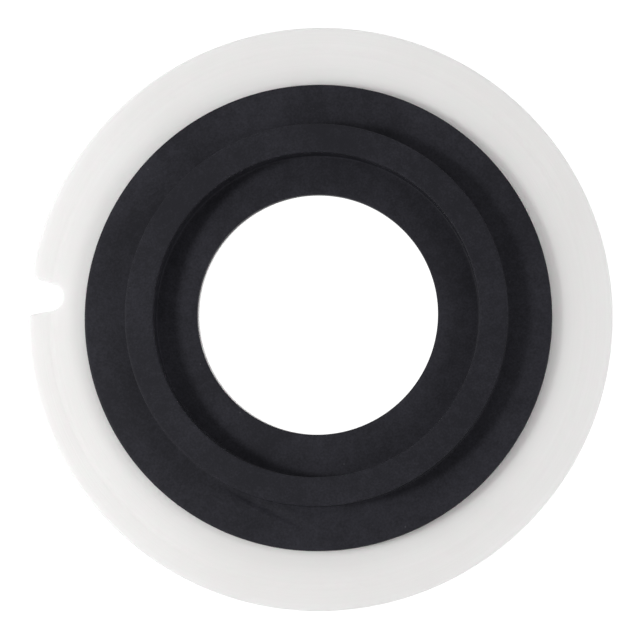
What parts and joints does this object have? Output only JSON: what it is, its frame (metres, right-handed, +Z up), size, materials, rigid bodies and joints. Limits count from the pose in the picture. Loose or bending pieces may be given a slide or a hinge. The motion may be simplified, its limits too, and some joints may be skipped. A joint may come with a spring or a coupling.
{
  "type": "toilet flange",
  "caption": "Round plastic toilet flange plate with a key notch and a pipe neck, a stepped rubber gasket on top and a finned rubber pipe seal below.",
  "frame": {"origin": "on the waste bore's axis, in the plane of the plate's underside, which lies on the finished floor", "axes": "+Z up along the bore towards the toilet, -X through the plate's key notch"},
  "size_m": [0.1497, 0.15, 0.045],
  "materials": {
    "plate_plastic": "satin, slightly translucent off-white moulded plastic",
    "gasket_rubber": "matt black moulded rubber with a faint dusty bloom",
    "sleeve_rubber": "matt black moulded rubber"
  },
  "bodies": {
    "flange": {"flange_plate": "plate_plastic", "pipe_seal": "sleeve_rubber"},
    "gasket": {"seal_gasket": "gasket_rubber"}
  },
  "joints": [
    {"name": "gasket_lift", "type": "slide", "parent": "flange", "child": "gasket", "axis": [0, 0, 1], "range_m": [0, 0.04]}
  ]
}
